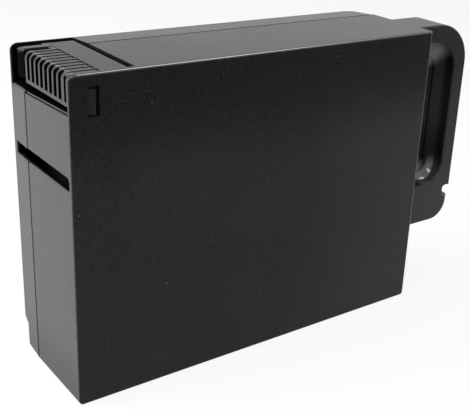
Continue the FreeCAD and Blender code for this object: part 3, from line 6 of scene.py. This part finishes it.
import bpy
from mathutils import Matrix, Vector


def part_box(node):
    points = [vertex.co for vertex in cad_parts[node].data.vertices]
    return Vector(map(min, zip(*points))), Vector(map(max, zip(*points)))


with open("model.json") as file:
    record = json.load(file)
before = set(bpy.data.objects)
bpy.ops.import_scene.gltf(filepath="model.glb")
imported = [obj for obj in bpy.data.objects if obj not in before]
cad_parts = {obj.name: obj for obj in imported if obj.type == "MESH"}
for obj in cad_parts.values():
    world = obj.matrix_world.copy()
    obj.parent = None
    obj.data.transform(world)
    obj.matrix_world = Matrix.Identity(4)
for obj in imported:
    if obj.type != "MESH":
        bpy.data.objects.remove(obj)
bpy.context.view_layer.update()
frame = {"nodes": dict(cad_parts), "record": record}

MM = 0.001


def grey(level):
    return (level, level, level, 1.0)


def metres(*millimetres):
    return tuple(length * MM for length in millimetres)


# Planes of the case in the row frame; the handle starts at HANDLE_X
END_X = -132.75 * MM
MIDDLE_X = 0.0
HANDLE_X = 90.25 * MM
FRONT_Y = -35.5 * MM
MIDDLE_Y = 0.0
SEAM_Y = 15.1 * MM
BASE_Z = 0.0
TOP_Z = 170.0 * MM

# The rear cover's end leans in by this share of the distance behind the seam
COVER_DRAFT = 0.052

# Middles of the connector opening, the key slot, the front finger recess and the handle
OPENING_Z = 157.0 * MM
KEY_SLOT_Z = 117.2 * MM
GRIP_Y = FRONT_Y + 16.0 * MM
GRIP_Z = 114.0 * MM
HANDLE_Y = -12.6 * MM

# Gap between the connector's comb and its guide rib
GUIDE_GAP_Y = 15.0 * MM

# Specks on the front face, as x and z, and scratches from x and z to x and z, in millimetres
SPECKS = [(-130.1, 103.5), (-92.1, 152.8), (-83.5, 56.0), (19.7, 162.9)]
SPECK_RADIUS = 0.4 * MM
SCRATCHES = [
    (-107.0, 159.2, -99.0, 157.7),
    (-111.5, 155.6, -101.0, 155.0),
    (-99.5, 158.9, -91.0, 158.0),
]
SCRATCH_WIDTH = 0.3 * MM
SCRATCH_STRENGTH = 0.08

# Finger recess: the lower corner shiny with wear, and pale painted highlights with their radii
SHINE_PLACE = metres(115.5, -21.0, 73.5)
SHINE_RADIUS = 14.0 * MM
HIGHLIGHT_SPOTS = [
    (metres(110.5, -19.5, 152.5), 13.0 * MM),
    (metres(109.0, -20.5, 78.0), 9.0 * MM),
]

# Colours of the case plastic and of what lies on it, and of the light and shade painted on it: sheen,
# a paler end and top, highlights in the recess and a black for shade
PLASTIC_BLACK = grey(0.003)
SHADE_BLACK = grey(0.001)
MOTTLE_SHEEN_GREY = (0.0335, 0.0345, 0.0385, 1.0)
SILL_SHEEN_GREY = grey(0.06)
GRAIN_GREY = grey(0.040)
END_LIGHT_GREY = (0.114, 0.113, 0.110, 1.0)
TOP_LIGHT_GREY = grey(0.03)
DUST_GREY = grey(0.25)
MARK_GREY = grey(0.30)
HIGHLIGHT_GREY = grey(0.28)

# The paper floor: its size, the shades it shows and throws back, and the share of it that glows
FLOOR_SIZE = 8.0
PAPER_SHOWN = grey(0.9)
PAPER_BOUNCED = grey(0.45)
PAPER_GLOW = 0.85

# Strength of the white room as a light; seen directly it is 1
ROOM_LIGHT = 0.25

# Softboxes: name, place, target, width and height in metres, power in watts
SOFTBOXES = [
    ("end_softbox", (-0.95, 0.45, 0.75), (-0.1, 0.0, 0.1), (0.8, 0.6), 10.0),
    ("edge_softbox", (0.52, -0.26, 1.15), (-0.03, -0.035, 0.17), (0.6, 0.5), 5.0),
    ("strip_softbox", (-0.58, -0.50, 0.98), (0.1, -0.50, 0.1), (2.8, 0.16), 13.0),
]

# The photograph's camera
CAMERA_PLACE = (-0.29423, -0.39405, 0.27737)
CAMERA_ANGLES = (67.642, -3.253, -37.358)
CAMERA_SENSOR = 36.0
CAMERA_LENS = 70.05
CAMERA_SHIFT = (-0.1171, -0.0245)


class Value:
    """A socket of a material's nodes. Arithmetic on it adds Math nodes."""

    def __init__(self, finish, socket):
        self.finish = finish
        self.socket = socket

    def math(self, operation, first, second=0.0):
        return self.finish.node("Math", {"operation": operation}, {0: first, 1: second})

    def __add__(self, other):
        return self.math("ADD", self, other)

    def __radd__(self, other):
        return self.math("ADD", other, self)

    def __sub__(self, other):
        return self.math("SUBTRACT", self, other)

    def __rsub__(self, other):
        return self.math("SUBTRACT", other, self)

    def __mul__(self, other):
        return self.math("MULTIPLY", self, other)

    def __rmul__(self, other):
        return self.math("MULTIPLY", other, self)

    def __abs__(self):
        return self.math("ABSOLUTE", self)


class Nodes:
    """The nodes of a material or of the world."""

    def __init__(self, owner):
        owner.use_nodes = True
        self.tree = owner.node_tree

    def node(self, kind, settings=None, inputs=None, output=0):
        """Adds a node and returns one of its outputs."""
        made = self.tree.nodes.new("ShaderNode" + kind)
        for name, value in (settings or {}).items():
            setattr(made, name, value)
        self.feed(made, inputs or {})
        return Value(self, made.outputs[output])

    def feed(self, made, inputs):
        """Links or sets some inputs of a node."""
        for name, value in inputs.items():
            if isinstance(value, Value):
                self.tree.links.new(value.socket, made.inputs[name])
            else:
                made.inputs[name].default_value = value

    def clamp(self, value):
        return self.node("Clamp", {}, {"Value": value})

    def seen_directly(self):
        """1 for rays from the camera, a gloss or a clear surface, 0 for other light."""
        kinds = ("Is Camera Ray", "Is Glossy Ray", "Is Transmission Ray")
        camera, gloss, clear = (self.node("LightPath", output=kind) for kind in kinds)
        return self.clamp(camera + gloss + clear)


class Finish(Nodes):
    """A material painted on the object's own coordinates."""

    # Sockets of the Mix node that carry colours
    MIX_FACTOR = 0
    MIX_FIRST = 6
    MIX_SECOND = 7
    MIX_RESULT = 2

    # Share of a spot's radius and of a scratch's width that has its full strength
    SPOT_CORE = 0.4
    SCRATCH_CORE = 0.3

    def __init__(self, name):
        self.name = name
        self.material = bpy.data.materials.new(name)
        super().__init__(self.material)
        self.shader = self.tree.nodes["Principled BSDF"]
        self.place = self.node("TexCoord", output="Object")
        self.x, self.y, self.z = (self.axis(letter) for letter in "XYZ")

    def axis(self, letter):
        return self.node("SeparateXYZ", {}, {0: self.place}, output=letter)

    def step(self, value, low, high):
        """0 below low and 1 above high, smooth between them; falls where low is above high."""
        if low > high:
            return 1.0 - self.step(value, high, low)
        ends = {"Value": value, "From Min": low, "From Max": high}
        return self.node("MapRange", {"interpolation_type": "SMOOTHSTEP"}, ends)

    def ramp(self, value, plane, start, end):
        """0 at start and 1 at end, both in millimetres from a plane, and level beyond them."""
        return self.step(value, plane + start * MM, plane + end * MM)

    def near(self, value, plane, reach, limit):
        """1 within reach of a plane and 0 past limit, both in millimetres."""
        return self.step(abs(value - plane), limit * MM, reach * MM)

    def noise(self, size, detail=2.0, stretch=(1.0, 1.0, 1.0)):
        """Noise with features about as large as size."""
        place = self.node("Mapping", {}, {"Vector": self.place, "Scale": stretch})
        inputs = {"Vector": place, "Scale": 1.0 / size, "Detail": detail}
        return self.node("TexNoise", {}, inputs)

    def cells(self, size):
        """Distance from the middle of the nearest of some scattered cells."""
        inputs = {"Vector": self.place, "Scale": 1.0 / size}
        return self.node("TexVoronoi", {}, inputs, output="Distance")

    def mix(self, factor, first, second):
        inputs = {self.MIX_FACTOR: factor, self.MIX_FIRST: first, self.MIX_SECOND: second}
        return self.node("Mix", {"data_type": "RGBA"}, inputs, output=self.MIX_RESULT)

    def bump(self, height, distance, under=None):
        inputs = {"Height": height, "Distance": distance, "Strength": 1.0}
        if under is not None:
            inputs["Normal"] = under
        return self.node("Bump", {}, inputs)

    def vector(self, operation, inputs, output=0):
        return self.node("VectorMath", {"operation": operation}, inputs, output)

    def gap(self, first, second):
        return self.vector("DISTANCE", {0: first, 1: second}, output="Value")

    def spot(self, centre, radius):
        return self.step(self.gap(self.place, centre), radius, radius * self.SPOT_CORE)

    def hairline(self, start, end, width):
        """1 along a straight scratch between two points."""
        run = [b - a for a, b in zip(start, end)]
        length = math.sqrt(sum(r * r for r in run))
        along = [r / length for r in run]
        offset = self.vector("SUBTRACT", {0: self.place, 1: start})
        reach = self.vector("DOT_PRODUCT", {0: offset, 1: along}, output="Value")
        held = self.node("Clamp", {}, {"Value": reach, "Min": 0.0, "Max": length})
        foot = self.vector("SCALE", {0: along, "Scale": held})
        return self.step(self.gap(offset, foot), width, width * self.SCRATCH_CORE)

    def dull(self, factor):
        """Paints shade: fades the finish towards a dull black where factor is 1."""
        inputs = {"Base Color": SHADE_BLACK, "Roughness": 0.4, "IOR": 1.06}
        black = self.node("BsdfPrincipled", {}, inputs)
        plain = Value(self, self.shader.outputs[0])
        mixed = self.node("MixShader", {}, {0: factor, 1: plain, 2: black})
        self.feed(self.tree.nodes["Material Output"], {"Surface": mixed})

    def set(self, **sockets):
        """Sets the shader's sockets, whose names have underscores here for spaces."""
        for name, value in sockets.items():
            title = name.replace("_", " ").title().replace("Ior", "IOR")
            self.feed(self.shader, {title: value})
        return self


def marks(finish):
    """Light specks and hairline scratches on the front face."""
    shown = 0.0
    for x, z in SPECKS:
        shown = shown + finish.spot((x * MM, FRONT_Y, z * MM), SPECK_RADIUS)
    for x0, z0, x1, z1 in SCRATCHES:
        start = (x0 * MM, FRONT_Y, z0 * MM)
        end = (x1 * MM, FRONT_Y, z1 * MM)
        shown = shown + SCRATCH_STRENGTH * finish.hairline(start, end, SCRATCH_WIDTH)
    return shown


def pit(finish):
    """1 inside the connector opening and the key slot, below the outer faces."""
    draft = finish.y.math("MAXIMUM", finish.y - SEAM_Y, 0.0) * COVER_DRAFT
    inside = finish.ramp(finish.x - draft, END_X, 0.6, 1.3)
    inside = inside * finish.near(finish.y, MIDDLE_Y, 33.1, 33.6)
    opening = finish.ramp(finish.x, END_X, 35.5, 34.5)
    opening = opening * finish.near(finish.z, OPENING_Z, 10.0, 12.0)
    slot = finish.ramp(finish.x, END_X, 19.0, 18.0)
    slot = slot * finish.near(finish.z, KEY_SLOT_Z, 4.2, 5.0)
    return inside * (opening + slot)


def grip(finish):
    """1 inside the handle's front recess."""
    inside = finish.ramp(finish.x, HANDLE_X, 0.3, 1.0)
    inside = inside * finish.ramp(finish.x, HANDLE_X, 33.5, 32.5)
    inside = inside * finish.near(finish.z, GRIP_Z, 45.5, 46.5)
    return inside * finish.near(finish.y, GRIP_Y, 4.8, 5.4)


def heel(finish):
    """1 on the roundings and the underside of the handle's lower end."""
    under = finish.ramp(finish.x, HANDLE_X, 0.5, 1.5)
    under = under * finish.ramp(finish.z, BASE_Z, 55.0, 47.0)
    return under * finish.near(finish.y, HANDLE_Y, 12.5, 12.85)


def painted_highlights(finish):
    """1 where pale highlights are painted in the recess."""
    shown = 0.0
    for centre, radius in HIGHLIGHT_SPOTS:
        shown = shown + finish.spot(centre, radius)
    return shown


def case_plastic():
    """Satin black moulding: fine grain, painted light on the end face, polished edges and painted
    shade in recesses.

    Dust and marks lie over it, with random mottle, painted sheen low down and towards the handle, a
    painted paler top, painted highlights in the finger recess, and painted shade on the upper front,
    in the seam beside its dirt, and under the handle.
    """
    finish = Finish("case_plastic")
    grain = finish.step(finish.noise(0.9 * MM, detail=3.0), 0.3, 0.7)
    cloud = finish.noise(45 * MM, detail=3.0)
    dust = finish.step(finish.cells(9 * MM), 0.05, 0.02)
    dust = dust * finish.step(finish.noise(40 * MM), 0.5, 0.62)

    front = finish.ramp(finish.y, FRONT_Y, 1.2, 0.3)
    top = finish.ramp(finish.z, TOP_Z, -1.4, -0.4)
    end = finish.ramp(finish.x, END_X, 1.8, 0.6)
    side = finish.near(finish.x, HANDLE_X, 0.4, 1.4)
    polished = front * (top + side)
    # The seam is darkened, with dirt in its joint and painted shade in its groove
    seam = (top + end) * finish.near(finish.y, SEAM_Y, 0.5, 1.0)
    # Painted shade: the upper front face darker, away from its polished edges
    upper_front_shade = front * (1.0 - polished) * finish.ramp(finish.z, BASE_Z, 105.0, 165.0)

    recess = grip(finish)
    cove = recess * finish.ramp(finish.y, FRONT_Y, 19.1, 18.4)
    shine = finish.spot(SHINE_PLACE, SHINE_RADIUS) * cove
    # Painted highlights: pale spots at the top and at the bottom of the finger recess
    painted_highlight = painted_highlights(finish) * recess
    # Painted shade over the rest of the finger recess, darker lower down
    recess_shade = finish.clamp(recess - shine - painted_highlight)
    recess_shade = recess_shade * (0.35 + 0.35 * finish.ramp(finish.z, BASE_Z, 115.0, 88.0))

    # Random mottle, with painted sheen lighter low down and towards the handle side
    low = finish.ramp(finish.z, BASE_Z, 155.0, 110.0)
    handle_side = finish.ramp(finish.x, MIDDLE_X, -10.0, 80.0)
    mottle_and_sheen = low * (0.24 + 0.54 * handle_side) + 0.5 * cloud - 0.28
    # Painted sheen: the handle's lower part lighter, below the finger recess
    sill = finish.ramp(finish.x, HANDLE_X, 0.5, 3.0)
    sill = sill * finish.ramp(finish.z, BASE_Z, 90.0, 65.0)
    # Painted light: the end face paler, less so near the bottom
    bloom = end * finish.ramp(finish.y, FRONT_Y, 1.0, 2.4)
    bloom = bloom * (0.45 + 0.55 * finish.ramp(finish.z, BASE_Z, 2.0, 36.0))

    # Painted light in these layers: sheen low on the handle, a paler end face and top, and highlights
    # in the recess; grain, dust and marks are the plastic's own
    layers = [
        (sill * 0.5, SILL_SHEEN_GREY),
        (grain * 0.36, GRAIN_GREY),
        (bloom * 0.8, END_LIGHT_GREY),
        (top * 0.5, TOP_LIGHT_GREY),
        (dust * 0.5, DUST_GREY),
        (marks(finish), MARK_GREY),
        (painted_highlight * 0.8, HIGHLIGHT_GREY),
    ]
    colour = finish.mix(mottle_and_sheen, PLASTIC_BLACK, MOTTLE_SHEEN_GREY)
    for amount, tint in layers:
        colour = finish.mix(amount, colour, tint)

    # Painted shade inside the connector opening and the key slot, and on the underside of the
    # handle's lower end
    deep = 0.9 * pit(finish) + 0.85 * heel(finish)
    finish.dull(deep + recess_shade + 0.35 * upper_front_shade + 0.7 * seam)
    waves = finish.bump(cloud, 0.04 * MM)
    return finish.set(
        base_color=colour,
        roughness=0.22 + 0.08 * cloud + 0.06 * grain,
        ior=1.25,
        coat_weight=polished + 0.7 * shine,
        coat_roughness=0.14,
        coat_ior=1.8,
        normal=finish.bump(grain * (1.0 - polished), 0.015 * MM, waves),
    )


def connector_plastic():
    """Smoother black moulding with flow lines, shiny on the ribs' ends, with painted shade deep in
    the opening.

    The comb's top has painted light, and the guide rib and the joint at the front wall get painted
    shade too.
    """
    finish = Finish("connector_plastic")
    grain = finish.noise(0.5 * MM)
    flow = finish.noise(3 * MM, detail=3.0, stretch=(0.2, 1.0, 1.0))
    # Painted light: the comb's top lighter
    comb = finish.ramp(finish.x, END_X, 16.5, 15.5)
    comb = comb * finish.ramp(finish.z, TOP_Z, -1.4, -0.6)
    colour = finish.mix(flow, grey(0.006), grey(0.014))
    colour = finish.mix(comb * 0.5, colour, grey(0.05))

    # Painted shade deep in the opening, on the guide rib below the top and in the gap at the front
    # wall
    opening_shade = pit(finish) * finish.ramp(finish.y, FRONT_Y, 3.2, 3.8)
    guide = finish.ramp(finish.y, GUIDE_GAP_Y, 0.0, 1.5)
    guide = guide * finish.ramp(finish.z, TOP_Z, -1.6, -3.2)
    joint = finish.ramp(finish.y, FRONT_Y, 3.5, 3.0)
    joint = joint * finish.ramp(finish.z, TOP_Z, -2.5, -1.5)
    finish.dull(finish.clamp(opening_shade + guide + joint) * 0.9)

    shiny = finish.ramp(finish.x, END_X, 5.0, 3.5)
    shiny = shiny * finish.ramp(finish.y, GUIDE_GAP_Y, 1.5, 0.0)
    return finish.set(
        base_color=colour,
        roughness=0.24 + 0.12 * flow,
        ior=1.25,
        coat_weight=0.6 * shiny,
        coat_roughness=0.15,
        coat_ior=1.5,
        normal=finish.bump(grain, 0.02 * MM),
    )


def metal(name, dark, light, rough, grain_size, stretch):
    """Plated or bare metal with drawn lines and dull patches."""
    finish = Finish(name)
    drawn = finish.noise(grain_size, detail=4.0, stretch=stretch)
    patch = finish.noise(6 * MM, detail=3.0)
    return finish.set(
        base_color=finish.mix(finish.step(patch, 0.35, 0.7), dark, light),
        metallic=1.0,
        roughness=rough + 0.18 * drawn + 0.12 * patch,
        normal=finish.bump(drawn, 0.02 * MM),
    )


def battery_plastic():
    """Dark grey moulding with a coarse grain and a lighter bloom."""
    finish = Finish("battery_plastic")
    grain = finish.noise(0.8 * MM, detail=3.0)
    bloom = finish.noise(35 * MM, detail=4.0)
    return finish.set(
        base_color=finish.mix(finish.step(bloom, 0.4, 0.75), grey(0.014), grey(0.028)),
        roughness=0.45 + 0.15 * bloom,
        normal=finish.bump(grain, 0.05 * MM),
    )


def soft_insulation(name, deep, pale, rough):
    """Vinyl, rubber or holder plastic with a soft bloom and extrusion lines."""
    finish = Finish(name)
    bloom = finish.noise(8 * MM, detail=4.0)
    lines = finish.noise(0.6 * MM, stretch=(1.0, 1.0, 0.1))
    return finish.set(
        base_color=finish.mix(bloom, deep, pale),
        roughness=rough + 0.12 * bloom,
        normal=finish.bump(lines, 0.02 * MM),
    )


def fuse_body():
    """Glassy tube between two plated caps."""
    finish = Finish("fuse_metal")
    low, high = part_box("cartridge_fuse")
    middle = [(a + b) / 2 for a, b in zip(low, high)]
    spans = [b - a for a, b in zip(low, high)]
    length = max(spans)
    longest = spans.index(length)
    along = abs((finish.x, finish.y, finish.z)[longest] - middle[longest])
    cap = finish.step(along, length * 0.28, length * 0.30)
    rub = finish.noise(1.5 * MM, detail=4.0)
    return finish.set(
        base_color=finish.mix(cap, (0.60, 0.66, 0.66, 1.0), (0.72, 0.71, 0.68, 1.0)),
        metallic=cap,
        roughness=0.08 + 0.22 * cap + 0.10 * rub,
        normal=finish.bump(rub, 0.01 * MM),
    )


def foam():
    """Closed-cell foam: small open bubbles over the cut faces."""
    finish = Finish("foam")
    bubble = finish.cells(1.1 * MM)
    shade = finish.noise(12 * MM, detail=3.0)
    colour = finish.mix(bubble, grey(0.05), grey(0.022))
    return finish.set(
        base_color=finish.mix(shade * 0.4, colour, grey(0.07)),
        roughness=0.9,
        normal=finish.bump(bubble, 0.35 * MM),
    )


def dress_nodes():
    """Gives each CAD node the finish of its material slot."""
    made = [
        case_plastic(),
        connector_plastic(),
        battery_plastic(),
        fuse_body(),
        foam(),
        metal("contact_metal", (0.52, 0.47, 0.37, 1.0), (0.72, 0.68, 0.58, 1.0),
              rough=0.20, grain_size=0.4 * MM, stretch=(0.08, 1.0, 1.0)),
        metal("bus_copper", (0.42, 0.20, 0.11, 1.0), (0.78, 0.44, 0.29, 1.0),
              rough=0.24, grain_size=0.4 * MM, stretch=(1.0, 0.06, 1.0)),
        metal("tab_metal", grey(0.42), grey(0.60),
              rough=0.22, grain_size=0.5 * MM, stretch=(1.0, 1.0, 0.08)),
        metal("screw_steel", grey(0.30), (0.56, 0.55, 0.51, 1.0),
              rough=0.26, grain_size=0.3 * MM, stretch=(1.0, 1.0, 1.0)),
        soft_insulation("boot_vinyl", (0.30, 0.02, 0.018, 1.0), (0.46, 0.04, 0.03, 1.0), rough=0.28),
        soft_insulation("lead_red", (0.28, 0.012, 0.012, 1.0), (0.40, 0.022, 0.02, 1.0), rough=0.42),
        soft_insulation("lead_black", grey(0.010), grey(0.022), rough=0.42),
        soft_insulation("holder_plastic", grey(0.012), grey(0.024), rough=0.38),
    ]
    materials = {finish.name: finish.material for finish in made}
    for part in frame["record"]["subparts"]:
        for slot in frame["nodes"][part["node"]].material_slots:
            slot.material = materials[part["material_slot"]]


def studio_floor():
    """White paper that keeps the object's shadow; it throws less light back than it shows."""
    bpy.ops.mesh.primitive_plane_add(size=FLOOR_SIZE, location=(0.0, 0.0, 0.0))
    floor = bpy.context.object
    floor.name = "studio_floor"
    finish = Finish("studio_floor")
    finish.tree.nodes.remove(finish.shader)
    seen = finish.seen_directly()
    shade = finish.mix(seen, PAPER_BOUNCED, PAPER_SHOWN)
    paper = finish.node("BsdfDiffuse", {}, {"Color": shade})
    glow = finish.node("Emission", {}, {"Color": grey(1.0), "Strength": 1.0})
    lit = finish.node("MixShader", {}, {0: seen * PAPER_GLOW, 1: paper, 2: glow})
    finish.feed(finish.tree.nodes["Material Output"], {"Surface": lit})
    floor.data.materials.append(finish.material)


def studio_world():
    """White all round, but weaker as a light than it looks."""
    world = bpy.data.worlds.new("studio_world")
    bpy.context.scene.world = world
    room = Nodes(world)
    strength = ROOM_LIGHT + (1.0 - ROOM_LIGHT) * room.seen_directly()
    room.feed(room.tree.nodes["Background"], {"Color": grey(1.0), "Strength": strength})


def softbox(name, place, target, size, power):
    """A rectangular light at a place, turned to a target."""
    lamp = bpy.data.lights.new(name, "AREA")
    lamp.shape = "RECTANGLE"
    lamp.size, lamp.size_y = size
    lamp.energy = power
    holder = bpy.data.objects.new(name, lamp)
    bpy.context.collection.objects.link(holder)
    holder.location = place
    aim = holder.location.copy()
    aim.x, aim.y, aim.z = (t - p for t, p in zip(target, place))
    holder.rotation_euler = aim.to_track_quat("-Z", "Y").to_euler()


def studio_camera():
    lens = bpy.data.cameras.new("photo_camera")
    lens.sensor_fit = "HORIZONTAL"
    lens.sensor_width = CAMERA_SENSOR
    lens.lens = CAMERA_LENS
    lens.shift_x, lens.shift_y = CAMERA_SHIFT
    camera = bpy.data.objects.new("photo_camera", lens)
    bpy.context.collection.objects.link(camera)
    camera.location = CAMERA_PLACE
    camera.rotation_euler = [math.radians(angle) for angle in CAMERA_ANGLES]
    bpy.context.scene.camera = camera


dress_nodes()
studio_floor()
studio_world()
for light in SOFTBOXES:
    softbox(*light)
studio_camera()
bpy.context.scene.view_settings.view_transform = "Standard"
